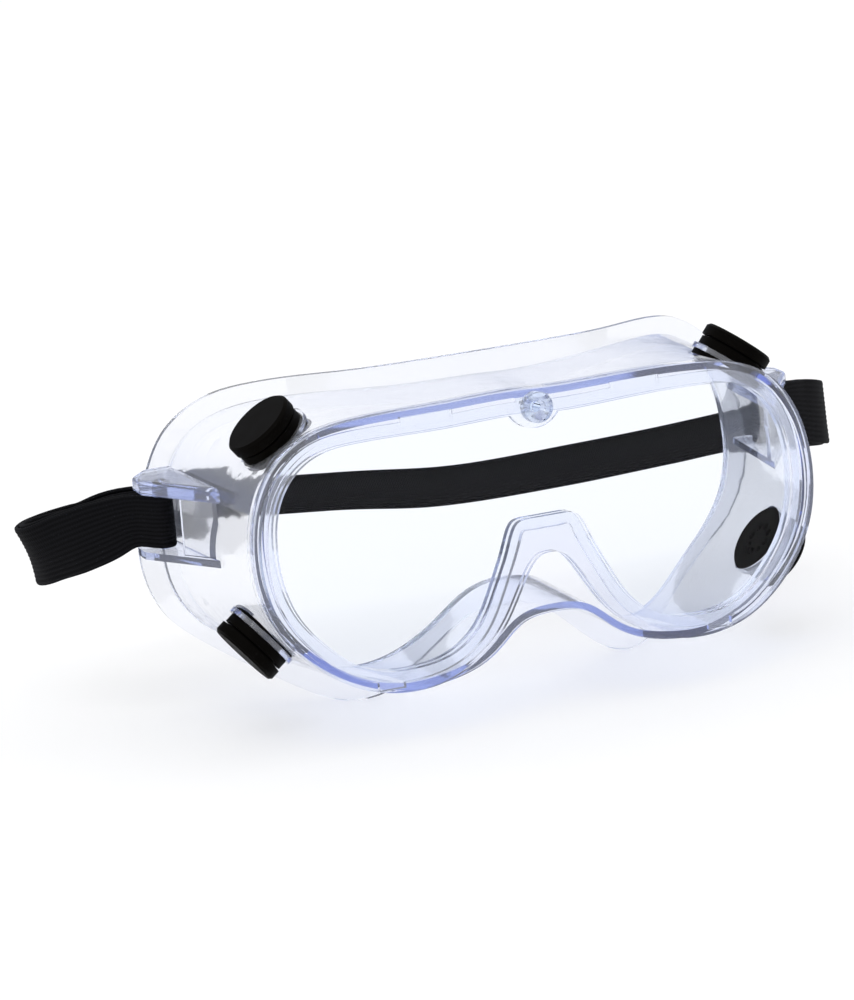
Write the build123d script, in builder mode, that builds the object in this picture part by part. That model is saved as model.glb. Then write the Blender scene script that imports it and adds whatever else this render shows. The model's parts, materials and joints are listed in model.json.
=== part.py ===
"""Splash goggles: clear soft frame, curved lens, four indirect vents, elastic headband.

Frame of reference: +X to the wearer's left (right as seen from the front), +Y towards the face,
+Z up as worn. The origin is on the surface that the goggles stand on, under the middle of their box.
"""
from build123d import *
from math import asin, atan2, cos, degrees, hypot, radians, sin, sqrt
import os

# ---------------------------------------------------------------- driving dimensions (mm, degrees)
lens_y = -53.9            # lens centre behind the origin (negative: in front of it)
lens_z = 51.4             # lens centre above the surface
lens_lean = 6.6           # top of the lens leans back by this angle
lens_bow_radius = 742.0   # the lens is almost flat
lip_thickness = 2.0       # rim lip in front of the lens
lens_thickness = 1.8
rim_depth = 5.8
lens_overlap = 3.2        # how far the lens reaches behind the lip
seat_clearance = 0.1
wall_thickness = 1.8
flange_thickness = 1.6
wall_rear_y = 65.0        # plane of the walls' rear outline, behind the lens centre

tab_radius = 8.0          # half-round tab at the top of the rim
tab_height = 34.0
stud_head_radius = 4.1
stud_head_height = 3.4
stud_shank_radius = 1.5
stud_tail_radius = 2.4
lens_ear = 9.0            # width of the ear on the lens edge that the stud passes through
stud_height = 31.6
top_clip_x = 29.5         # lens clips: middle, length and height on the rim
top_clip_length = 14.0
bottom_clip_x = 47.0
bottom_clip_length = 7.0
clip_reach = 1.4

vent_upper = (66.4, 24.0, 30.5, 52.0)    # x, y behind the lens, z above it, angle of the normal
vent_lower = (74.8, 24.0, -23.9, -39.0)
vent_seat_radius = 10.45   # the seat inside the wall, for the grommet's inner flange
vent_seat_top = -1.35
vent_boss_radius = 7.9    # the boss outside the wall, inside the grommet's skirt
vent_boss_out = 0.4
vent_boss_in = 2.8
vent_skirt_radius = 9.4
vent_skirt_clearance = 0.1
vent_skirt_top = 1.2
vent_hole_radius = 6.6
vent_neck_clearance = 0.15
vent_collar_radius = 8.0
vent_collar_height = 2.6
vent_air_gap = 0.7
vent_inner_radius = 9.7
vent_inner_height = 1.4
vent_pin_radius = 1.6
vent_pin_clearance = 0.06
vent_pin_depth = 0.8
vent_cap_radius = 9.8
vent_cap_height = 3.2
vent_cap_wall = 1.3
vent_pin_gap = 0.3

lug_y = 50.0              # hinge line of the headband: through both lug bars
lug_z = 5.6
lug_x = 88.6
lug_bar_radius = 1.5
lug_window = 15.2         # clear height between the two arms
lug_arm_thickness = 4.2   # the upper arm; the lower one is a thin shelf
lug_shelf_thickness = 2.0
lug_rounding = 1.2

strap_thickness = 1.5
strap_layer = 0.8         # half the pitch of two layers of webbing
strap_fold_thickness = 1.2
strap_split_radius = 13.0
strap_split_gap = 0.3
strap_full = 18.0
strap_narrow = 14.4       # the webbing bunches up inside the lug window
# middle line of the strap: x, y behind the lens, z above it, outward lean of the top edge, width
strap_route = [(-88.6, 50, 5.6, 0, strap_narrow), (-96, 54.8, 5.5, 0, strap_narrow),
               (-103, 59.4, 2.8, 5, 17), (-110, 66, -0.8, 14, strap_full),
               (-115.8, 76, -5, 26, strap_full), (-113, 89, -7.6, 6, strap_full),
               (-100, 98.5, -6.8, -24, strap_full), (-80, 101, -3.8, -42, strap_full),
               (-22, 101, -9.6, -42, strap_full), (12, 101, -13.6, -39, strap_full),
               (50, 101, -13.8, -36, strap_full), (85, 101, -12.8, -36, strap_full),
               (105.5, 98.5, -11, -33, strap_full), (116, 90, -8, -16, strap_full),
               (118.8, 78.5, -4.5, -4, strap_full), (112.8, 67, -0.8, -5, strap_full),
               (103.5, 59.6, 2.8, -5, 17), (96, 54.8, 5.5, 0, strap_narrow),
               (88.6, 50, 5.6, 0, strap_narrow)]
straight_start = 7        # the station where the strap's straight stretch begins
loop_stations = 4         # stations reached by each folded end at a lug
hem_stations = 5          # stations reached by the sewn fold, counted from the right lug
band_margin = 2           # stations at each lug that lie well inside the hinge space
core_reach = 150          # half the width of the hinge space, past both lugs

adjuster_x = -62.0
adjuster_length = 16.0
adjuster_rail = 2.0
adjuster_bar = 3.0
adjuster_bar_thickness = 1.5
adjuster_pin_radius = 0.8
adjuster_clearance = 0.35

# half outlines: (x, height) from the top centre to the bottom centre, seen from the front
rim_outline = [(0, 36.6), (24, 36.4), (49, 35.7), (61, 33.5), (70, 28.2), (76.5, 18.8), (79.3, 8),
               (79.4, -2), (77.4, -11), (72.9, -19.6), (65.4, -27.8), (54.8, -34.3), (43, -36.8),
               (31.5, -35.4), (22, -30.6), (15.2, -24.6), (11.2, -18.8), (7.9, -13.2), (5.2, -9.3),
               (2.6, -7.3), (0, -6.9)]
lip_outline = [(0, 29.8), (25, 29.7), (50, 29.6), (60.5, 27.8), (67, 23.4), (71.6, 16), (73.4, 6),
               (72.9, -3), (69.4, -13.5), (63.5, -21.3), (56, -27.6), (48, -30.6), (40, -31),
               (30, -29), (21.5, -22.7), (16, -13.3), (12, -5), (10.2, -0.6), (8.2, 2.1), (4.5, 2.7),
               (0, 2.7)]
wall_front_outline = [(0, 35.4), (24, 35.2), (49, 34.5), (60.4, 32.4), (69.1, 27.3), (75.4, 18.3),
                      (78.1, 7.8), (78.2, -1.9), (76.3, -10.5), (71.9, -18.9), (64.7, -26.8),
                      (54.5, -33.4), (43.2, -36.6), (33, -36.3), (25, -34.7), (19, -32), (14.6, -28.7),
                      (11.4, -26), (8, -24.1), (4, -23.2), (0, -23)]
wall_rear_outline = [(0, 35), (25, 35), (50, 33.9), (60, 32), (68.4, 28.8), (75.6, 23.6), (81, 15.3),
                     (84.2, 3), (84.8, -9), (82.5, -19), (77, -27.5), (69, -34.3), (59, -40.7),
                     (49, -45.6), (41, -46.8), (33, -44.6), (25.5, -39.5), (18.5, -33), (12.5, -28),
                     (6.5, -25), (0, -24)]
flange_outline = [(0, 41), (20, 40.6), (38, 39.6), (52, 38.4), (61, 36.6), (68.4, 34.2), (75.6, 30),
                  (81.4, 24.6), (86.4, 15.5), (89.8, 4), (90.8, -7), (88.6, -18.3), (83.5, -27.3),
                  (76.8, -33.3), (68.5, -39.2), (59, -44.9), (50.5, -49.4), (43, -51.4), (35, -50.2),
                  (27, -45.6), (20, -39.5), (14, -34.4), (7.5, -31), (0, -30)]
face_profile = [(0, 35.3), (20, 37.2), (36, 42.2), (50, 50), (58, 56), (66, 62), (74, 66), (82, 67.8),
                (92, 67.6), (100, 66.8)]     # plan view of the face side: (x, y behind the lens)

# ---------------------------------------------------------------- shared planes and outlines
lean = radians(lens_lean)
lens_origin = Vector(0, lens_y, lens_z)
lens_plane = Plane(origin=lens_origin, x_dir=(1, 0, 0), z_dir=(0, -cos(lean), sin(lean)))
plan_plane = Plane(origin=lens_origin, x_dir=(1, 0, 0), z_dir=(0, sin(lean), cos(lean)))
level_plane = Plane(origin=lens_origin, x_dir=(1, 0, 0), z_dir=(0, 0, 1))
upright_plane = Plane(origin=lens_origin, x_dir=(1, 0, 0), z_dir=(0, -1, 0))
span = 70.0               # half height of the cutting prisms


def mirrored(half):
    """Both halves of a symmetric outline, clockwise from the top centre."""
    return half + [(-x, h) for x, h in reversed(half[1:-1])]


def inset(points, distance):
    """The same closed outline moved inwards by a distance."""
    moved = []
    for i, (x, h) in enumerate(points):
        before = points[i - 1]
        after = points[(i + 1) % len(points)]
        dx = after[0] - before[0]
        dh = after[1] - before[1]
        length = hypot(dx, dh)
        moved.append((x + distance * dh / length, h - distance * dx / length))
    return moved


def outline_face(plane, half, inward=0.0):
    """A face inside a smooth closed outline."""
    with BuildSketch(plane) as sketch:
        with BuildLine():
            Spline(*inset(mirrored(half), inward), periodic=True)
        make_face()
    return sketch.sketch


def bow(x):
    """How far the lens surface has curved back at x."""
    return lens_bow_radius - sqrt(lens_bow_radius**2 - x**2)


def bowed_slab(front, back):
    """Everything between two depths behind the bowed front of the lens."""
    edge = 95.0
    with BuildPart() as slab:
        with BuildSketch(plan_plane):
            with BuildLine():
                ThreePointArc((-edge, front + bow(edge)), (0, front), (edge, front + bow(edge)))
                Line((edge, front + bow(edge)), (edge, back + bow(edge)))
                ThreePointArc((edge, back + bow(edge)), (0, back), (-edge, back + bow(edge)))
                Line((-edge, back + bow(edge)), (-edge, front + bow(edge)))
            make_face()
        extrude(amount=span, both=True)
    return slab.part


def bowed_plate(half, inward, front, back):
    """An outline cut out of a bowed slab."""
    with BuildPart() as plate:
        extrude(outline_face(lens_plane.offset(5), half, inward), amount=-30)
        add(bowed_slab(front, back), mode=Mode.INTERSECT)
    return plate.part


def in_front_of_face(clearance):
    """Everything in front of the face side of the goggles."""
    side = [(x, y - clearance) for x, y in face_profile]
    points = [(-x, y) for x, y in reversed(side[1:])] + side
    front = -40.0
    with BuildPart() as prism:
        with BuildSketch(level_plane):
            with BuildLine():
                Spline(*points)
                Polyline(points[-1], (points[-1][0], front), (points[0][0], front), points[0])
            make_face()
        extrude(amount=span, both=True)
    return prism.part


# ---------------------------------------------------------------- frame body
def wall_solid(inward):
    """The walls' outer form, or their hollow when moved inwards."""
    front = lens_plane.offset(-lip_thickness - 0.4)
    rear = upright_plane.offset(-wall_rear_y)
    with BuildPart() as solid:
        loft([outline_face(front, wall_front_outline, inward), outline_face(rear, wall_rear_outline, inward)])
        extrude(outline_face(rear, wall_rear_outline, inward), amount=-8)
    return solid.part


def vent_plane(spot, side):
    """A plane on the wall's outer surface at a vent, with its normal pointing outwards."""
    x, y, height, angle = spot
    normal = (side * cos(radians(angle)), 0, sin(radians(angle)))
    return Plane(origin=lens_origin + Vector(side * x, y, height), x_dir=(0, 1, 0), z_dir=normal)


def vents():
    """The four vents: name and plane of each."""
    for level, spot in (("upper", vent_upper), ("lower", vent_lower)):
        for name, side in (("left", -1), ("right", 1)):
            yield f"{level}_{name}", vent_plane(spot, side)


def lens_clips(grow):
    """The small tongues on the lens edge that key it into the rim."""
    top = lip_outline[1][1] + lens_overlap
    bottom = lip_outline[12][1] - lens_overlap
    with BuildPart() as clips:
        with BuildSketch(lens_plane.offset(5)):
            with Locations((-top_clip_x, top), (top_clip_x, top)):
                Rectangle(top_clip_length + 2 * grow, 2 * (clip_reach + grow))
            with Locations((-bottom_clip_x, bottom), (bottom_clip_x, bottom)):
                Rectangle(bottom_clip_length + 2 * grow, 2 * (clip_reach + grow))
            with Locations((0, top)):
                Rectangle(lens_ear + 2 * grow, 2 * (clip_reach + grow))
        extrude(amount=-30)
        add(bowed_slab(lip_thickness - grow, lip_thickness + lens_thickness + grow), mode=Mode.INTERSECT)
    return clips.part


def stud_hole():
    """The hole for the stud's shank, with room for its tail behind the rim."""
    with BuildPart() as hole:
        with BuildSketch(lens_plane.offset(1)):
            with Locations((0, stud_height)):
                Circle(stud_shank_radius + vent_pin_clearance)
        extrude(amount=-rim_depth - 2)
        with BuildSketch(lens_plane.offset(-rim_depth)):
            with Locations((0, stud_height)):
                Circle(stud_tail_radius + seat_clearance)
        extrude(amount=-2 * lip_thickness)
    return hole.part


def lug_arm_outline(side):
    """Plan view of one arm of a strap lug, from the wall outwards."""
    corners = [(80.2, 27), (94.8, 49), (94.8, 55), (90, 60.5), (83, 60.5)]
    with BuildSketch(level_plane) as sketch:
        with BuildLine():
            Polyline(*[(side * x, y) for x, y in corners], close=True)
        make_face()
        outer = [v for v in sketch.vertices() if abs(v.X) > 88]
        fillet(outer, radius=1.8)
    return sketch.sketch


def build_lug(side):
    """A bracket with two arms, a front web and the upright bar that the strap loops around."""
    half = lug_window / 2
    web = [(80.4, 29.5), (87.2, 39.5), (86.2, 40.2), (80.4, 32)]
    with BuildPart() as lug:
        extrude(lug_arm_outline(side).moved(Location((0, 0, lug_z + half))), amount=lug_arm_thickness)
        rim = lug.faces().sort_by(Axis.Z)[-1].edges() + lug.faces().sort_by(Axis.Z)[0].edges()
        fillet([edge for edge in rim if abs(edge.center().X) > lug_x - 2], radius=lug_rounding)
        shelf = lug_z - half - lug_shelf_thickness
        extrude(lug_arm_outline(side).moved(Location((0, 0, shelf))), amount=lug_shelf_thickness)
        with BuildSketch(level_plane.offset(lug_z - half)):
            with Locations((side * lug_x, lug_y)):
                Circle(lug_bar_radius)
            with BuildLine():
                Polyline(*[(side * x, y) for x, y in web], close=True)
            make_face()
        extrude(amount=lug_window)
    return lug.part


def build_frame_body():
    """Rim, walls, nose web, face flange, strap lugs, top tab and vent bosses in one moulding."""
    lens_back = lip_thickness + lens_thickness
    hollow = wall_solid(wall_thickness)
    with BuildPart() as body:
        add(wall_solid(0))
        add(hollow, mode=Mode.SUBTRACT)
        for name, plane in vents():
            with BuildSketch(plane.offset(-vent_boss_in)):
                Circle(vent_seat_radius)
            extrude(amount=vent_boss_in + vent_seat_top)
            with BuildSketch(plane.offset(-vent_boss_in)):
                Circle(vent_boss_radius)
            extrude(amount=vent_boss_in + vent_boss_out)
        add(in_front_of_face(0), mode=Mode.INTERSECT)
        add(build_flange(hollow))
        add(bowed_plate(rim_outline, 0, 0, rim_depth))
        add(bowed_plate(wall_front_outline, 0, lip_thickness, lip_thickness + wall_thickness))
        add(bowed_plate(lip_outline, 0, -1, rim_depth + 1), mode=Mode.SUBTRACT)
        seat = -lens_overlap - seat_clearance
        add(bowed_plate(lip_outline, seat, lip_thickness, lens_back), mode=Mode.SUBTRACT)
        add(lens_clips(seat_clearance), mode=Mode.SUBTRACT)
        with BuildSketch(lens_plane):
            with Locations((0, tab_height)):
                Circle(tab_radius)
            with Locations((0, tab_height + tab_radius / 2)):
                Rectangle(2 * tab_radius, tab_radius, mode=Mode.SUBTRACT)
        extrude(amount=-lip_thickness)
        add(stud_hole(), mode=Mode.SUBTRACT)
        for side in (-1, 1):
            add(build_lug(side))
        for name, plane in vents():
            with BuildSketch(plane.offset(vent_boss_out + 1)):
                Circle(vent_hole_radius)
            extrude(amount=-vent_boss_in - vent_boss_out - 3, mode=Mode.SUBTRACT)
            with BuildSketch(plane.offset(-vent_boss_in)):
                Circle(vent_inner_radius + seat_clearance)
            extrude(amount=-3 * vent_inner_height, mode=Mode.SUBTRACT)
    return body


def build_flange(hollow):
    """The soft lip around the face opening."""
    with BuildPart() as flange:
        extrude(outline_face(upright_plane.offset(-20), flange_outline), amount=-60)
        add(in_front_of_face(0), mode=Mode.INTERSECT)
        add(in_front_of_face(flange_thickness), mode=Mode.SUBTRACT)
        add(hollow, mode=Mode.SUBTRACT)
    return flange.part


def build_lens():
    """The bowed polycarbonate lens with its clips and the hole for the stud."""
    with BuildPart() as lens:
        add(bowed_plate(lip_outline, -lens_overlap, lip_thickness, lip_thickness + lens_thickness))
        add(lens_clips(0))
        add(stud_hole(), mode=Mode.SUBTRACT)
    return lens


def build_lens_stud():
    """The press stud that pins the lens and the rim together at the top."""
    dimple_radius = 1.9
    tail_height = 0.9
    with BuildPart() as stud:
        with BuildSketch(lens_plane):
            with Locations((0, stud_height)):
                Circle(stud_head_radius)
        extrude(amount=stud_head_height)
        fillet(stud.edges().filter_by(GeomType.CIRCLE).sort_by(Axis.Y)[0], radius=0.8)
        with BuildSketch(lens_plane.offset(stud_head_height)):
            with Locations((0, stud_height)):
                Circle(dimple_radius)
        extrude(amount=-1.1, mode=Mode.SUBTRACT)
        with BuildSketch(lens_plane):
            with Locations((0, stud_height)):
                Circle(stud_shank_radius)
        extrude(amount=-rim_depth)
        with BuildSketch(lens_plane.offset(-rim_depth)):
            with Locations((0, stud_height)):
                Circle(stud_tail_radius)
        extrude(amount=-tail_height)
    return stud


# ---------------------------------------------------------------- vents
def build_vent_base(plane, wall):
    """The grommet: skirt and collar outside the wall, flange and grille inside it, and the cap's pin."""
    inside = -vent_boss_in - vent_inner_height
    passage_radius = 5.3
    hub_radius = 2.4
    grille_hole_radius = 1.05
    pin_top = vent_cap_underside() + vent_pin_depth - vent_pin_gap
    with BuildPart() as base:
        with BuildSketch(plane.offset(vent_seat_top + vent_skirt_clearance)):
            Circle(vent_skirt_radius)
            Circle(vent_boss_radius + vent_skirt_clearance, mode=Mode.SUBTRACT)
        extrude(amount=vent_skirt_top - vent_seat_top - vent_skirt_clearance)
        add(wall, mode=Mode.SUBTRACT)
        with BuildSketch(plane.offset(inside)):
            Circle(vent_inner_radius)
            with PolarLocations((hub_radius + passage_radius) / 2, 8):
                Circle(grille_hole_radius, mode=Mode.SUBTRACT)
        extrude(amount=vent_inner_height)
        with BuildSketch(plane.offset(-vent_boss_in)):
            Circle(vent_hole_radius - vent_neck_clearance)
            Circle(passage_radius, mode=Mode.SUBTRACT)
        extrude(amount=vent_boss_in + vent_boss_out)
        with BuildSketch(plane.offset(vent_boss_out)):
            Circle(vent_skirt_radius)
            Circle(passage_radius, mode=Mode.SUBTRACT)
        extrude(amount=vent_skirt_top - vent_boss_out)
        with BuildSketch(plane.offset(vent_boss_out)):
            Circle(vent_collar_radius)
            Circle(passage_radius, mode=Mode.SUBTRACT)
        extrude(amount=vent_collar_height)
        with BuildSketch(plane.offset(inside)):
            Circle(vent_pin_radius)
        extrude(amount=pin_top - inside)
    return base


def vent_cap_underside():
    """Height of the cap's inner face above the wall."""
    return vent_boss_out + vent_collar_height + vent_air_gap


def build_vent_cap(plane):
    """The round splash cap that sits over the collar and turns on the base's pin."""
    underside = vent_cap_underside()
    top = underside + vent_cap_wall
    with BuildPart() as cap:
        with BuildSketch(plane.offset(top - vent_cap_height)):
            Circle(vent_cap_radius)
        extrude(amount=vent_cap_height)
        rim = cap.faces().sort_by(lambda f: (f.center() - plane.origin).dot(plane.z_dir))[-1]
        chamfer(rim.edges(), length=0.7)
        with BuildSketch(plane.offset(top - vent_cap_height)):
            Circle(vent_cap_radius - vent_cap_wall)
        extrude(amount=vent_cap_height - vent_cap_wall, mode=Mode.SUBTRACT)
        with BuildSketch(plane.offset(underside)):
            Circle(vent_pin_radius + vent_pin_clearance)
        extrude(amount=vent_pin_depth, mode=Mode.SUBTRACT)
    return cap


# ---------------------------------------------------------------- headband
lug_centre = lens_origin + Vector(0, lug_y, lug_z)
loop_plane = Plane(origin=lug_centre, x_dir=(1, 0, 0), z_dir=(0, 0, 1))
hinge_plane = Plane(origin=lug_centre, x_dir=(0, 1, 0), z_dir=(1, 0, 0))


def route_slopes():
    """Knot spacing of the strap's route and the slope of every value at each station."""
    places = [Vector(*station[:3]) for station in strap_route]
    gaps = [sqrt((b - a).length) for a, b in zip(places, places[1:])]
    rates = [[(v - u) / gap for u, v in zip(a, b)] for a, b, gap in zip(strap_route, strap_route[1:], gaps)]
    slopes = [rates[0]]
    for before, after, gap, next_gap in zip(rates, rates[1:], gaps, gaps[1:]):
        slopes.append([(v * gap + u * next_gap) / (gap + next_gap) for u, v in zip(before, after)])
    slopes.append(rates[-1])
    slopes[straight_start] = rates[straight_start]
    slopes[straight_start + 1] = rates[straight_start]
    return gaps, slopes


def strap_frames(first, last, steps=4):
    """Cross-section planes and widths along the strap: x outwards, y to the top edge, z along."""
    gaps, slopes = route_slopes()
    frames = []
    for index in range(first, last):
        count = 1 if index == straight_start else steps
        for step in range(count + (index == last - 1)):
            t = step / count
            gap = gaps[index]
            pieces = zip(strap_route[index], slopes[index], strap_route[index + 1], slopes[index + 1])
            values = []
            rates = []
            for a, slope_a, b, slope_b in pieces:
                bend = 2 * (a - b) + gap * (slope_a + slope_b)
                pull = 3 * (b - a) - gap * (2 * slope_a + slope_b)
                values.append(a + t * (gap * slope_a + t * (pull + t * bend)))
                rates.append(gap * slope_a + t * (2 * pull + t * 3 * bend))
            along = Vector(*rates[:3]).normalized()
            outward = Vector(0, 0, 1).cross(along).normalized()
            upward = along.cross(outward)
            lean = radians(values[3])
            top = upward * cos(lean) + outward * sin(lean)
            place = lens_origin + Vector(*values[:3])
            frames.append((Plane(origin=place, x_dir=top.cross(along), z_dir=along), values[4]))
    return frames


def hinge_core(radius):
    """The space around the hinge line that stays with the frame."""
    with BuildPart() as core:
        with BuildSketch(hinge_plane):
            Circle(radius)
        extrude(amount=core_reach, both=True)
    return core.part


def build_webbing(frames, offset):
    """Webbing through a run of cross-sections, moved outwards by offset, clear of the hinge."""
    with BuildPart() as webbing:
        for plane, width in frames:
            with BuildSketch(plane):
                with Locations((offset, 0)):
                    Rectangle(strap_thickness, width)
        loft(ruled=True)
        add(hinge_core(strap_split_radius + strap_split_gap), mode=Mode.SUBTRACT)
    return webbing


def build_strap_loop(side):
    """The end of the strap folded around a lug bar, two layers thick."""
    inner_radius = lug_bar_radius + seat_clearance
    last = len(strap_route) - 1
    frames = strap_frames(0, loop_stations) if side < 0 else strap_frames(last - loop_stations, last)
    with BuildPart() as loop:
        for plane, width in frames:
            with BuildSketch(plane):
                Rectangle(2 * strap_layer + strap_thickness, width)
        loft(ruled=True)
        add(hinge_core(strap_split_radius), mode=Mode.INTERSECT)
        with BuildSketch(loop_plane):
            with Locations((side * lug_x, 0)):
                Circle(inner_radius + strap_thickness)
        extrude(amount=strap_narrow / 2, both=True)
        with BuildSketch(loop_plane):
            with Locations((side * lug_x, 0)):
                Circle(inner_radius)
        extrude(amount=strap_full, both=True, mode=Mode.SUBTRACT)
    return loop


def adjuster_plane():
    """A plane at the adjuster's middle: x along the strap, y outwards from the head."""
    start, end = [Vector(*station[:3]) for station in strap_route[straight_start:straight_start + 2]]
    middle = start + (end - start) * ((adjuster_x - start.X) / (end.X - start.X))
    section, _ = strap_frames(straight_start, straight_start + 1)[0]
    return Plane(origin=lens_origin + middle, x_dir=section.z_dir, z_dir=section.y_dir)


def adjuster_pin_y():
    """Middle of the adjuster's centre bar, on the face side of the band."""
    folded = adjuster_pin_radius + seat_clearance + strap_fold_thickness
    return strap_layer - strap_thickness / 2 - adjuster_clearance - folded


def build_adjuster():
    """The three-bar slider: two outer bars behind the band and a centre bar in front of it."""
    outer_y = strap_layer + strap_thickness / 2 + adjuster_clearance + adjuster_bar_thickness / 2
    near_y = adjuster_pin_y() - adjuster_pin_radius - adjuster_clearance
    far_y = outer_y + adjuster_bar_thickness / 2
    inside = strap_full / 2 + adjuster_clearance
    bar_x = (adjuster_length - adjuster_bar) / 2
    with BuildPart() as adjuster:
        for low in (inside, -inside - adjuster_rail):
            with BuildSketch(adjuster_plane().offset(low)):
                with Locations((0, (near_y + far_y) / 2)):
                    RectangleRounded(adjuster_length, far_y - near_y, 1.2)
            extrude(amount=adjuster_rail)
        with BuildSketch(adjuster_plane()):
            with Locations((-bar_x, outer_y), (bar_x, outer_y)):
                RectangleRounded(adjuster_bar, adjuster_bar_thickness, 0.5)
            with Locations((0, adjuster_pin_y())):
                Circle(adjuster_pin_radius)
        extrude(amount=inside + adjuster_rail / 2, both=True)
    return adjuster


def build_strap_end():
    """The end of the webbing folded around the adjuster's centre bar."""
    inner = adjuster_pin_radius + seat_clearance
    outer = inner + strap_fold_thickness
    length = adjuster_length / 2
    with BuildPart() as end:
        with BuildSketch(adjuster_plane()):
            with Locations((-length / 2, adjuster_pin_y() + (inner + outer) / 2)):
                Rectangle(length, strap_fold_thickness)
            with Locations((0, adjuster_pin_y())):
                Circle(outer)
                Circle(inner, mode=Mode.SUBTRACT)
        extrude(amount=strap_full / 2 - seat_clearance, both=True)
    return end


def return_frames():
    """Cross-sections of the doubled layer, from the left lug to the adjuster's near edge."""
    frames = strap_frames(band_margin, straight_start + 1)[:-1]
    edge = adjuster_plane().origin - frames[-1][0].z_dir * (adjuster_length / 2 + strap_split_gap)
    frames.append((Plane(origin=edge, x_dir=frames[-1][0].x_dir, z_dir=frames[-1][0].z_dir), strap_full))
    return frames


def save(name, part):
    """Label a finished piece and write it to its own file."""
    part.label = name
    export_step(part, f"parts/{name}.step")


os.makedirs("parts", exist_ok=True)
save("frame_body", build_frame_body().part)
save("lens", build_lens().part)
save("lens_stud", build_lens_stud().part)
near_wall = wall_solid(-vent_skirt_clearance)
for vent_name, vent in vents():
    save(f"vent_base_{vent_name}", build_vent_base(vent, near_wall).part)
    save(f"vent_cap_{vent_name}", build_vent_cap(vent).part)
save("strap_loop_left", build_strap_loop(-1).part)
save("strap_loop_right", build_strap_loop(1).part)
last_station = len(strap_route) - 1
band_frames = strap_frames(band_margin, last_station - band_margin)
hem_frames = strap_frames(last_station - hem_stations, last_station - band_margin)
save("headband", build_webbing(band_frames, strap_layer).part)
save("strap_return", build_webbing(return_frames(), -strap_layer).part)
save("strap_hem", build_webbing(hem_frames, -strap_layer).part)
save("strap_adjuster", build_adjuster().part)
save("strap_end_fold", build_strap_end().part)
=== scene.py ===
"""Looks of the splash goggles: clear vinyl, clear lens, black vents and a ribbed elastic headband."""
import json
import math

import bmesh
import bpy
from mathutils import Matrix, Vector


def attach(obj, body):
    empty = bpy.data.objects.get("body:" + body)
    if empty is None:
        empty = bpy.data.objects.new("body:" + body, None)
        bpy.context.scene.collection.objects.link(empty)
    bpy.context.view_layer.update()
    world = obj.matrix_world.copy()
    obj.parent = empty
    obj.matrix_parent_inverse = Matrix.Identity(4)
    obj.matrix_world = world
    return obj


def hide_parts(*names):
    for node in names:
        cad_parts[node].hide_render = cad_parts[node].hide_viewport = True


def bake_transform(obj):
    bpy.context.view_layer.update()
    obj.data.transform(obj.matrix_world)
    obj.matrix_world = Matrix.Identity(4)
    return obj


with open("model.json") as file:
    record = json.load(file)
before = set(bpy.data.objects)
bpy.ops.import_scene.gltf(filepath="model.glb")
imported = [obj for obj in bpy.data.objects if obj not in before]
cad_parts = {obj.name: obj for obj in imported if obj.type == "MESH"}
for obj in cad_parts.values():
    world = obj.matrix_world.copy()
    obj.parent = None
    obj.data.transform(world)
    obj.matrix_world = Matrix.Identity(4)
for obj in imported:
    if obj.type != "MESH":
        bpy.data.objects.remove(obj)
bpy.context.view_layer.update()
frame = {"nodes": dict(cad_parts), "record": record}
nodes = frame["nodes"]

MM = 0.001
SEAL_DEPTH = 60           # the face_seal mount's distance behind the lens centre (mm)
seal = next(m for m in frame["record"]["mounts"] if m["name"] == "face_seal")
LENS_CENTRE = Vector(seal["pos_m"]) - Vector((0, SEAL_DEPTH * MM, 0))

# noise scales are per metre, bump depths are in metres
RIPPLE_SCALE = 55.0       # the moulding's slow waves
RIPPLE_DETAIL = 2.0
RIPPLE_ROUGHNESS = 0.4
RIPPLE_DEPTH = 0.0006
BLOTCH_SCALE = 160.0      # uneven colour and gloss of black plastic
BLOTCH_DARK = 0.7
BLOTCH_LIGHT = 1.4
GRAIN_SCALE = 2600.0      # fine grain of black plastic
GRAIN_DETAIL = 4.0
GRAIN_DEPTH = 0.0001
RIB_PITCH = 1.4           # the webbing's ribs and knitted rows (mm)
ROW_PITCH = 0.75
ROW_SHIFT = 1.2           # how far a rib shifts the rows beside it (radians)
ROW_HEIGHT = 0.35         # heights are relative to the ribs
FUZZ_SCALE = 3500.0
FUZZ_DETAIL = 5.0
FUZZ_ROUGHNESS = 0.7
FUZZ_HEIGHT = 1.1
KNIT_STRENGTH = 0.7
KNIT_DEPTH = 0.00012
PAINTED_SHADE_LOW = -1.2           # heights that get the darkest and the lightest colour: painted shade in the knit's low parts
PAINTED_SHADE_HIGH = 2.4
THREAD_SCALE = 4000.0


# ---------------------------------------------------------------- materials
def new_material(name):
    """An empty node material with its output node."""
    material = bpy.data.materials.new(name)
    material.use_nodes = True
    tree = material.node_tree
    tree.nodes.clear()
    return material, tree, tree.nodes.new("ShaderNodeOutputMaterial")


def add_node(tree, kind, **settings):
    """A node with its properties (lower case) and input values (by socket name) set."""
    node = tree.nodes.new(kind)
    for key, value in settings.items():
        if key.islower():
            setattr(node, key, value)
        else:
            node.inputs[key.replace("_", " ")].default_value = value
    return node


def join(tree, source, output, target, socket):
    """Links an output to an input."""
    tree.links.new(source.outputs[output], target.inputs[socket])


def object_noise(tree, scale, detail=3.0, roughness=0.5):
    """Noise that is fixed to the object, in its own metres."""
    place = add_node(tree, "ShaderNodeTexCoord")
    noise = add_node(tree, "ShaderNodeTexNoise", Scale=scale, Detail=detail, Roughness=roughness)
    join(tree, place, "Object", noise, "Vector")
    return noise


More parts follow.
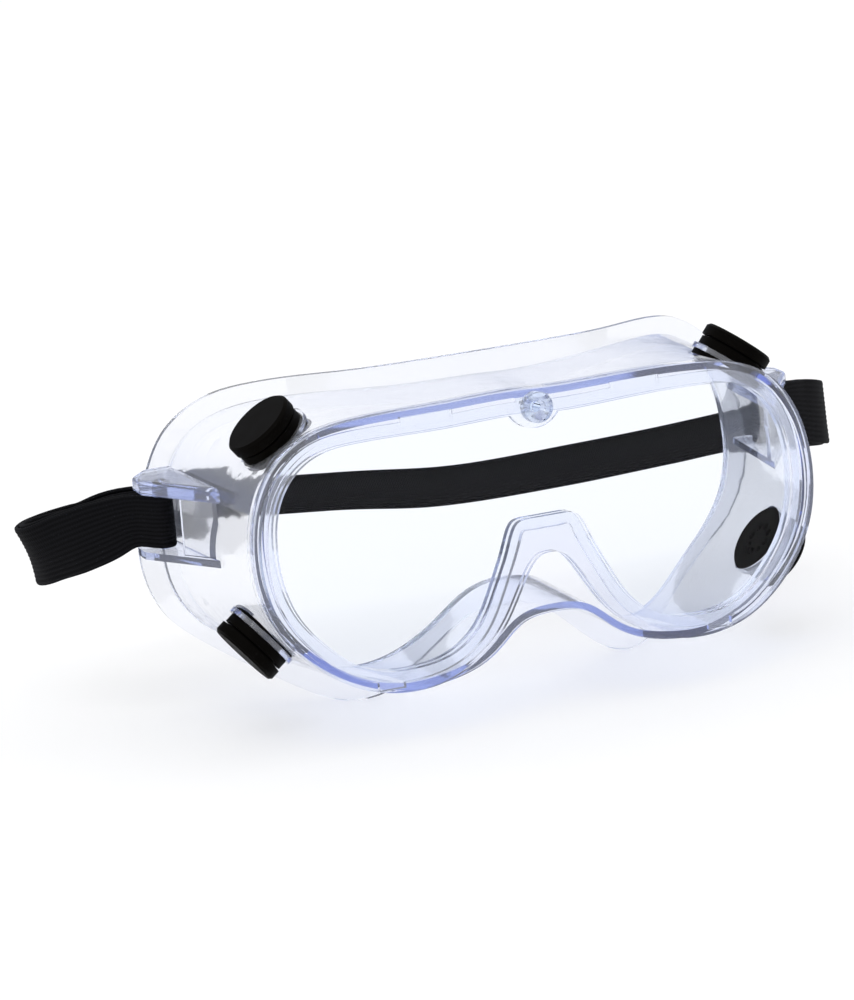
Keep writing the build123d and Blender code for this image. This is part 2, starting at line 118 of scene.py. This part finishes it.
def glass(name, tint, density, roughness, index, clarity, ripple, shadow):
    """Clear plastic: absorption by thickness, a slightly uneven surface, and a light shadow."""
    material, tree, out = new_material(name)
    shader = add_node(tree, "ShaderNodeBsdfPrincipled", Base_Color=(1, 1, 1, 1), Roughness=roughness,
                      IOR=index, Transmission_Weight=clarity)
    bump = add_node(tree, "ShaderNodeBump", Strength=ripple, Distance=RIPPLE_DEPTH)
    waves = object_noise(tree, RIPPLE_SCALE, RIPPLE_DETAIL, RIPPLE_ROUGHNESS)
    join(tree, waves, "Fac", bump, "Height")
    join(tree, bump, "Normal", shader, "Normal")
    clear = add_node(tree, "ShaderNodeBsdfTransparent", Color=(*shadow, 1))
    path = add_node(tree, "ShaderNodeLightPath")
    mix = add_node(tree, "ShaderNodeMixShader")
    join(tree, path, "Is Shadow Ray", mix, "Fac")
    join(tree, shader, 0, mix, 1)
    join(tree, clear, 0, mix, 2)
    join(tree, mix, 0, out, "Surface")
    volume = add_node(tree, "ShaderNodeVolumeAbsorption", Color=(*tint, 1), Density=density)
    join(tree, volume, 0, out, "Volume")
    return material


def black_plastic(name, colour, low, high, grain, shine):
    """Matt black moulding with a fine grain and slightly uneven gloss."""
    material, tree, out = new_material(name)
    shader = add_node(tree, "ShaderNodeBsdfPrincipled", Specular_IOR_Level=shine)
    blotch = object_noise(tree, BLOTCH_SCALE)
    ramp = add_node(tree, "ShaderNodeValToRGB")
    ramp.color_ramp.elements[0].color = (*[c * BLOTCH_DARK for c in colour], 1)
    ramp.color_ramp.elements[1].color = (*[c * BLOTCH_LIGHT for c in colour], 1)
    join(tree, blotch, "Fac", ramp, "Fac")
    join(tree, ramp, "Color", shader, "Base Color")
    gloss = add_node(tree, "ShaderNodeMapRange", To_Min=low, To_Max=high)
    join(tree, blotch, "Fac", gloss, "Value")
    join(tree, gloss, "Result", shader, "Roughness")
    bump = add_node(tree, "ShaderNodeBump", Strength=grain, Distance=GRAIN_DEPTH)
    join(tree, object_noise(tree, GRAIN_SCALE, GRAIN_DETAIL), "Fac", bump, "Height")
    join(tree, bump, "Normal", shader, "Normal")
    join(tree, shader, 0, out, "Surface")
    return material


def webbing_material():
    """Black knitted elastic: its ribs and rows follow the strap's own coordinates, in millimetres."""
    material, tree, out = new_material("elastic_webbing")
    shader = add_node(tree, "ShaderNodeBsdfPrincipled", Roughness=0.75, Specular_IOR_Level=0.05,
                      Sheen_Weight=0.01, Sheen_Roughness=0.45, Sheen_Tint=(0.55, 0.57, 0.65, 1))
    coords = add_node(tree, "ShaderNodeUVMap", uv_map="strap_mm")
    split = add_node(tree, "ShaderNodeSeparateXYZ")
    join(tree, coords, "UV", split, "Vector")
    across = add_node(tree, "ShaderNodeMath", operation="MULTIPLY")
    across.inputs[1].default_value = 2 * math.pi / RIB_PITCH
    join(tree, split, "Y", across, 0)
    rib = add_node(tree, "ShaderNodeMath", operation="SINE")
    join(tree, across, "Value", rib, 0)
    along = add_node(tree, "ShaderNodeMath", operation="MULTIPLY")
    along.inputs[1].default_value = 2 * math.pi / ROW_PITCH
    join(tree, split, "X", along, 0)
    shifted = add_node(tree, "ShaderNodeMath", operation="MULTIPLY_ADD")
    shifted.inputs[1].default_value = ROW_SHIFT
    join(tree, rib, "Value", shifted, 0)
    join(tree, along, "Value", shifted, 2)
    row = add_node(tree, "ShaderNodeMath", operation="SINE")
    join(tree, shifted, "Value", row, 0)
    height = add_node(tree, "ShaderNodeMath", operation="MULTIPLY_ADD")
    height.inputs[1].default_value = ROW_HEIGHT
    join(tree, row, "Value", height, 0)
    join(tree, rib, "Value", height, 2)
    fuzz = object_noise(tree, FUZZ_SCALE, FUZZ_DETAIL, FUZZ_ROUGHNESS)
    rough = add_node(tree, "ShaderNodeMath", operation="MULTIPLY_ADD")
    rough.inputs[1].default_value = FUZZ_HEIGHT
    join(tree, fuzz, "Fac", rough, 0)
    join(tree, height, "Value", rough, 2)
    bump = add_node(tree, "ShaderNodeBump", Strength=KNIT_STRENGTH, Distance=KNIT_DEPTH)
    join(tree, rough, "Value", bump, "Height")
    join(tree, bump, "Normal", shader, "Normal")
    # base colour from the knit's height: painted shade, darker in the grooves between ribs and rows, with
    # random tone from the fuzz
    painted_knit_shade = add_node(tree, "ShaderNodeMapRange", From_Min=PAINTED_SHADE_LOW, From_Max=PAINTED_SHADE_HIGH)
    join(tree, rough, "Value", painted_knit_shade, "Value")
    ramp = add_node(tree, "ShaderNodeValToRGB")
    ramp.color_ramp.elements[0].color = (0.0015, 0.0015, 0.0018, 1)
    ramp.color_ramp.elements[1].color = (0.008, 0.008, 0.0095, 1)
    join(tree, painted_knit_shade, "Result", ramp, "Fac")
    join(tree, ramp, "Color", shader, "Base Color")
    join(tree, shader, 0, out, "Surface")
    return material


def thread_material():
    """Black polyester thread."""
    material, tree, out = new_material("strap_thread")
    shader = add_node(tree, "ShaderNodeBsdfPrincipled", Roughness=0.6, Sheen_Weight=0.3, Sheen_Roughness=0.4)
    ramp = add_node(tree, "ShaderNodeValToRGB")
    ramp.color_ramp.elements[0].color = (0.006, 0.006, 0.007, 1)
    ramp.color_ramp.elements[1].color = (0.03, 0.03, 0.034, 1)
    join(tree, object_noise(tree, THREAD_SCALE), "Fac", ramp, "Fac")
    join(tree, ramp, "Color", shader, "Base Color")
    join(tree, shader, 0, out, "Surface")
    return material


def paint(node, material):
    """Gives a CAD node its material."""
    mesh = nodes[node].data
    mesh.materials.clear()
    mesh.materials.append(material)


vinyl = glass("clear_vinyl", tint=(0.5, 0.6, 0.9), density=66.0, roughness=0.05, index=1.5,
              clarity=0.93, ripple=0.12, shadow=(0.93, 0.94, 0.98))
polycarbonate = glass("clear_polycarbonate", tint=(0.5, 0.69, 0.967), density=80.0, roughness=0.0,
                      index=1.14, clarity=1.0, ripple=0.02, shadow=(0.96, 0.965, 0.985))
rubber = black_plastic("black_rubber", colour=(0.0022, 0.0018, 0.0014), low=0.45, high=0.6, grain=0.25,
                       shine=0.02)
satin = black_plastic("satin_black", colour=(0.006, 0.006, 0.007), low=0.28, high=0.4, grain=0.2,
                      shine=0.15)
elastic = webbing_material()
thread = thread_material()

paint("frame_body", vinyl)
paint("lens", polycarbonate)
paint("lens_stud", polycarbonate)
paint("strap_adjuster", satin)
for node in nodes:
    if node.startswith("vent_"):
        paint(node, rubber)


# ---------------------------------------------------------------- headband
# the strap's middle line, as in the CAD: x, y behind the lens, z above it, lean, width (mm, degrees)
STRAP_ROUTE = [(-88.6, 50, 5.6, 0, 14.4), (-96, 54.8, 5.5, 0, 14.4), (-103, 59.4, 2.8, 5, 17),
               (-110, 66, -0.8, 14, 18), (-115.8, 76, -5, 26, 18), (-113, 89, -7.6, 6, 18),
               (-100, 98.5, -6.8, -24, 18), (-80, 101, -3.8, -42, 18), (-22, 101, -9.6, -42, 18),
               (12, 101, -13.6, -39, 18), (50, 101, -13.8, -36, 18), (85, 101, -12.8, -36, 18),
               (105.5, 98.5, -11, -33, 18), (116, 90, -8, -16, 18), (118.8, 78.5, -4.5, -4, 18),
               (112.8, 67, -0.8, -5, 18), (103.5, 59.6, 2.8, -5, 17), (96, 54.8, 5.5, 0, 14.4),
               (88.6, 50, 5.6, 0, 14.4)]
STRAIGHT = 7              # the station where the straight stretch with the adjuster begins
HEM_STATIONS = 5          # stations reached by the sewn fold, from the right lug
LAYER = 0.8               # each layer's distance from the middle line
WIDTH = 18.0              # of the webbing, where nothing squeezes it
THICKNESS = 1.4
BAR_PITCH = 2.35          # the webbing's middle line around a lug bar
SPREAD_LENGTH = 8.0       # over this distance the two layers part to pass a bar
RIBS = 13
RIB_HEIGHT = 0.13
POINTS_PER_RIB = 6
EDGE_DEPTH = 0.35         # the rounded edge's depth, as a share of the thickness
EDGE_POINTS = 4
STEP_MM = 2.0             # along the strap, about
FEWEST_STEPS = 3          # between two stations
TURN_STEPS = 10           # round a lug bar


def route_slopes():
    """Knot spacing and slopes, the same curve as the CAD's strap."""
    gaps = []
    for a, b in zip(STRAP_ROUTE, STRAP_ROUTE[1:]):
        gaps.append(math.sqrt(math.dist(a[:3], b[:3])))
    rates = []
    for a, b, gap in zip(STRAP_ROUTE, STRAP_ROUTE[1:], gaps):
        rates.append([(v - u) / gap for u, v in zip(a, b)])
    slopes = [rates[0]]
    for before, after, gap, next_gap in zip(rates, rates[1:], gaps, gaps[1:]):
        slopes.append([(v * gap + u * next_gap) / (gap + next_gap) for u, v in zip(before, after)])
    slopes.append(rates[-1])
    slopes[STRAIGHT] = rates[STRAIGHT]
    slopes[STRAIGHT + 1] = rates[STRAIGHT]
    return gaps, slopes


def strap_sections(first, last):
    """(middle, outward, top, along, width) between two stations, in mm from the lens centre."""
    gaps, slopes = route_slopes()
    sections = []
    for index in range(first, last):
        a, b = STRAP_ROUTE[index], STRAP_ROUTE[index + 1]
        steps = max(FEWEST_STEPS, round(math.dist(a[:3], b[:3]) / STEP_MM))
        for step in range(steps + (index == last - 1)):
            t = step / steps
            gap = gaps[index]
            values, rates = [], []
            for u, slope_u, v, slope_v in zip(a, slopes[index], b, slopes[index + 1]):
                bend = 2 * (u - v) + gap * (slope_u + slope_v)
                pull = 3 * (v - u) - gap * (2 * slope_u + slope_v)
                values.append(u + t * (gap * slope_u + t * (pull + t * bend)))
                rates.append(gap * slope_u + t * (2 * pull + t * 3 * bend))
            along = Vector(rates[:3]).normalized()
            level = Vector((0, 0, 1)).cross(along).normalized()
            lean = math.radians(values[3])
            top = along.cross(level) * math.cos(lean) + level * math.sin(lean)
            sections.append((Vector(values[:3]), top.cross(along), top, along, values[4]))
    return sections


def layer_run(sections, side):
    """(middle, face direction, top, width) of one layer, on the outer (+1) or the head's side (-1)."""
    run = []
    for middle, outward, top, _, width in sections:
        near_bar = min((middle - Vector(STRAP_ROUTE[end][:3])).length for end in (0, -1))
        t = max(0.0, 1 - near_bar / SPREAD_LENGTH)
        shift = LAYER + (BAR_PITCH - LAYER) * t * t * (3 - 2 * t)
        run.append((middle + outward * side * shift, outward * side, top, width))
    return run


def bar_turn(section, past, start_side):
    """The half turn of the webbing round a bar, from one layer to the other."""
    middle, outward, top, _, width = section
    turn = []
    for step in range(1, TURN_STEPS):
        angle = math.pi * step / TURN_STEPS
        radial = outward * start_side * math.cos(angle) + past * math.sin(angle)
        turn.append((middle + radial * BAR_PITCH, radial, top, width))
    return turn


def rib_profile(thickness):
    """Closed cross-section (thickness, width) of ribbed webbing with rounded edges, in mm."""
    points = []
    count = RIBS * POINTS_PER_RIB
    half = WIDTH / 2 - thickness * EDGE_DEPTH
    for side in (1, -1):
        for i in range(count + 1):
            t = i / count
            z = (half - 2 * half * t) * side
            crest = 0.5 - 0.5 * math.cos(2 * math.pi * t * RIBS)
            points.append((side * (thickness / 2 - RIB_HEIGHT * (1 - crest)), z))
        for i in range(1, EDGE_POINTS):
            angle = math.pi * i / EDGE_POINTS
            reach = thickness / 2 - RIB_HEIGHT
            past = thickness * EDGE_DEPTH * math.sin(angle)
            points.append((side * reach * math.cos(angle), side * (-half - past)))
    return points


def ribbon(name, run, thickness=THICKNESS):
    """Ribbed webbing through a run of (middle, face, top, width), with its own coordinates in mm."""
    mesh = bpy.data.meshes.new(name)
    bm = bmesh.new()
    uv = bm.loops.layers.uv.new("strap_mm")
    rings = []
    travel = 0.0
    previous = run[0][0]
    profile = rib_profile(thickness)
    for middle, face, top, width in run:
        travel += (middle - previous).length
        previous = middle
        squeeze = width / WIDTH
        ring = []
        for depth, height in profile:
            spot = LENS_CENTRE + (middle + face * depth + top * height * squeeze) * MM
            ring.append(bm.verts.new(spot))
        rings.append((ring, travel))
    size = len(profile)
    for (ring_a, u_a), (ring_b, u_b) in zip(rings, rings[1:]):
        for i in range(size):
            j = (i + 1) % size
            face_ab = bm.faces.new((ring_a[i], ring_a[j], ring_b[j], ring_b[i]))
            v_i, v_j = profile[i][1], profile[j][1]
            places = ((u_a, v_i), (u_a, v_j), (u_b, v_j), (u_b, v_i))
            for loop, place in zip(face_ab.loops, places):
                loop[uv].uv = place
            face_ab.smooth = True
    for ring, _ in (rings[0], rings[-1]):
        cap = bm.faces.new(ring)
        for loop in cap.loops:
            loop[uv].uv = (0.0, 0.0)
    bmesh.ops.recalc_face_normals(bm, faces=bm.faces)
    bm.to_mesh(mesh)
    bm.free()
    obj = bpy.data.objects.new(name, mesh)
    bpy.context.scene.collection.objects.link(obj)
    mesh.materials.append(elastic)
    return obj


STITCH_RADIUS = 0.24
STITCH_SIDES = 6
STITCH_RINGS = 5
STITCH_END = 0.55         # the thread's radius where it enters the webbing, as a share
STITCH_RISE = 0.22        # how far a stitch's middle rises above its ends
STITCH_SINK = 0.12        # how far its ends sink in
ZIGZAG_STITCHES = 10      # across the webbing
ZIGZAG_EDGE = 3           # kept clear, on both edges together
ROW_DISTANCE = 1.9        # each row's distance from the seam's middle
ROW_SWING = 0.85          # each zigzag's reach to either side of its row
HEM_SECTION = 3           # where the hem's seam is, counted along its sections


def stitch(bm, start, end, lift):
    """One raised stitch of thread with its ends sunk in, in mm from the lens centre."""
    along = (end - start).normalized()
    side = lift.cross(along).normalized()
    rings = []
    for step in range(STITCH_RINGS):
        t = step / (STITCH_RINGS - 1)
        arch = math.sin(math.pi * t)
        middle = start.lerp(end, t) + lift * (STITCH_RISE * arch - STITCH_SINK)
        radius = STITCH_RADIUS * (STITCH_END + (1 - STITCH_END) * arch)
        ring = []
        for i in range(STITCH_SIDES):
            angle = 2 * math.pi * i / STITCH_SIDES
            spot = middle + (side * math.cos(angle) + lift * math.sin(angle)) * radius
            ring.append(bm.verts.new(LENS_CENTRE + spot * MM))
        rings.append(ring)
    for ring_a, ring_b in zip(rings, rings[1:]):
        for i in range(STITCH_SIDES):
            j = (i + 1) % STITCH_SIDES
            bm.faces.new((ring_a[i], ring_a[j], ring_b[j], ring_b[i])).smooth = True
    bm.faces.new(rings[0])
    bm.faces.new(rings[-1])


def zigzag(name, middle, along, top, faces, width):
    """Two zigzag rows across the webbing, on each of the given (face direction, distance) sides."""
    bm = bmesh.new()
    for face, distance in faces:
        for row in (-ROW_DISTANCE, ROW_DISTANCE):
            points = []
            for i in range(ZIGZAG_STITCHES + 1):
                across = (i / ZIGZAG_STITCHES - 0.5) * (width - ZIGZAG_EDGE)
                swing = ROW_SWING if i % 2 else -ROW_SWING
                points.append(middle + face * distance + top * across + along * (row + swing))
            for a, b in zip(points, points[1:]):
                stitch(bm, a, b, face)
    bmesh.ops.recalc_face_normals(bm, faces=bm.faces)
    mesh = bpy.data.meshes.new(name)
    bm.to_mesh(mesh)
    bm.free()
    obj = bpy.data.objects.new(name, mesh)
    bpy.context.scene.collection.objects.link(obj)
    mesh.materials.append(thread)
    return obj


last = len(STRAP_ROUTE) - 1
whole = strap_sections(0, last)
hem = strap_sections(last - HEM_STATIONS, last)
returned = strap_sections(0, STRAIGHT)
run = layer_run(hem, -1)
run += bar_turn(hem[-1], hem[-1][3], -1)
run += list(reversed(layer_run(whole, 1)))
run += bar_turn(whole[0], -whole[0][3], 1)
run += layer_run(returned, -1)
strap = ribbon("elastic_strap", run)
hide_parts("headband", "strap_hem", "strap_loop_left", "strap_loop_right", "strap_return")
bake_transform(strap)

middle, outward, top, along, width = hem[HEM_SECTION]
surface = LAYER + THICKNESS / 2
both_sides = ((outward, surface), (-outward, surface))
hem_thread = zigzag("hem_stitches", middle, along, top, both_sides, width)
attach(hem_thread, "headband")

# the webbing's end, folded and sewn round the adjuster's centre bar
ADJUSTER_X = -62.0
PIN_SHIFT = -2.4          # the centre bar's middle from the strap's middle line, towards the head
FOLD_PITCH = 1.5          # the webbing's middle line around the centre bar
FOLD_THICKNESS = 1.15
FOLD_WIDTH = 17.6
FOLD_LENGTH = 9.0         # of the part folded back
FOLD_STEPS = 6
FOLD_TURN_STEPS = 12
FOLD_SEAM = 5.5           # the seam's distance from the centre bar
RUN_STEPS = 10            # from the straight stretch's start to the bar
start, end = Vector(STRAP_ROUTE[STRAIGHT][:3]), Vector(STRAP_ROUTE[STRAIGHT + 1][:3])
along = (end - start).normalized()
_, outward, top, _, _ = strap_sections(STRAIGHT, STRAIGHT + 1)[0]
pin = start + along * ((ADJUSTER_X - start.x) / along.x) + outward * PIN_SHIFT
tail = []
reach = (pin - outward * PIN_SHIFT - start).length
for step in range(RUN_STEPS + 1):
    t = step / RUN_STEPS
    ease = t * t * (3 - 2 * t)
    shift = -LAYER + (PIN_SHIFT + FOLD_PITCH + LAYER) * ease
    width = WIDTH + (FOLD_WIDTH - WIDTH) * ease
    tail.append((start + along * reach * t + outward * shift, outward, top, width))
for step in range(1, FOLD_TURN_STEPS):
    angle = math.pi * step / FOLD_TURN_STEPS
    radial = outward * math.cos(angle) + along * math.sin(angle)
    tail.append((pin + radial * FOLD_PITCH, radial, top, FOLD_WIDTH))
for step in range(FOLD_STEPS + 1):
    middle = pin - outward * FOLD_PITCH - along * FOLD_LENGTH * step / FOLD_STEPS
    tail.append((middle, -outward, top, FOLD_WIDTH))
fold = ribbon("strap_end", tail, FOLD_THICKNESS)
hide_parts("strap_end_fold")
seam = pin - along * FOLD_SEAM
under = FOLD_PITCH + FOLD_THICKNESS / 2
end_thread = zigzag("end_stitches", seam, along, top, ((-outward, under),), FOLD_WIDTH)
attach(end_thread, "adjuster")
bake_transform(fold)


# ---------------------------------------------------------------- stage, light and camera
def floor():
    """A plain pale floor."""
    mesh = bpy.data.meshes.new("floor")
    reach = 8.0
    corners = [(-reach, -reach, 0), (reach, -reach, 0), (reach, reach, 0), (-reach, reach, 0)]
    mesh.from_pydata(corners, [], [(0, 1, 2, 3)])
    obj = bpy.data.objects.new("floor", mesh)
    bpy.context.scene.collection.objects.link(obj)
    material, tree, out = new_material("pale_floor")
    shader = add_node(tree, "ShaderNodeBsdfPrincipled", Base_Color=(0.62, 0.62, 0.62, 1), Roughness=0.9,
                      Specular_IOR_Level=0.0, Emission_Color=(1, 1, 1, 1), Emission_Strength=0.4)
    join(tree, shader, 0, out, "Surface")
    mesh.materials.append(material)


def softbox(name, place, aim, size, power):
    """A large area light that faces a point."""
    data = bpy.data.lights.new(name, "AREA")
    data.shape = "RECTANGLE"
    data.size, data.size_y = size
    data.energy = power
    obj = bpy.data.objects.new(name, data)
    obj.location = place
    obj.rotation_mode = "QUATERNION"
    obj.rotation_quaternion = (Vector(aim) - Vector(place)).to_track_quat("-Z", "Y")
    bpy.context.scene.collection.objects.link(obj)


def camera():
    """The camera at the photograph's angle, at its distance and framing."""
    azimuth, elevation, roll = math.radians(-21.188), math.radians(14.848), math.radians(-4.336)
    distance = 1.1639
    aim_offset = Vector((-33.264, 0, 12.601))
    target = LENS_CENTRE + aim_offset * MM
    back = Vector((math.sin(azimuth) * math.cos(elevation), -math.cos(azimuth) * math.cos(elevation),
                   math.sin(elevation)))
    right = Vector((math.cos(azimuth), math.sin(azimuth), 0))
    up = back.cross(right)
    tilted = right * math.cos(roll) + up * math.sin(roll)
    data = bpy.data.cameras.new("camera")
    data.sensor_width = 36.0
    data.lens = 162.71
    data.clip_start, data.clip_end = 0.05, 50.0
    obj = bpy.data.objects.new("camera", data)
    axes = Matrix((tilted, back.cross(tilted), back)).transposed()
    obj.matrix_world = Matrix.Translation(target + back * distance) @ axes.to_4x4()
    bpy.context.scene.collection.objects.link(obj)
    bpy.context.scene.camera = obj


def studio():
    """A white dome that darkens to blue-grey near the horizon."""
    world = bpy.data.worlds.new("studio")
    world.use_nodes = True
    tree = world.node_tree
    place = add_node(tree, "ShaderNodeTexCoord")
    split = add_node(tree, "ShaderNodeSeparateXYZ")
    join(tree, place, "Generated", split, "Vector")
    ramp = add_node(tree, "ShaderNodeValToRGB")
    ramp.color_ramp.elements[0].position = 0.12
    ramp.color_ramp.elements[0].color = (0.52, 0.57, 0.74, 1)
    ramp.color_ramp.elements[1].position = 0.38
    ramp.color_ramp.elements[1].color = (1, 1, 1, 1)
    join(tree, split, "Z", ramp, "Fac")
    background = tree.nodes["Background"]
    join(tree, ramp, "Color", background, "Color")
    background.inputs["Strength"].default_value = 0.98
    bpy.context.scene.world = world


floor()
softbox("key", place=(-0.7, -1.0, 2.0), aim=(0, 0, 0), size=(1.2, 1.0), power=8.0)
studio()
bpy.context.scene.view_settings.view_transform = "Standard"
# light crosses many clear walls on its way to what is behind them
BOUNCES = 24
bpy.context.scene.cycles.max_bounces = BOUNCES
bpy.context.scene.cycles.transmission_bounces = BOUNCES
bpy.context.scene.cycles.transparent_max_bounces = BOUNCES
camera()
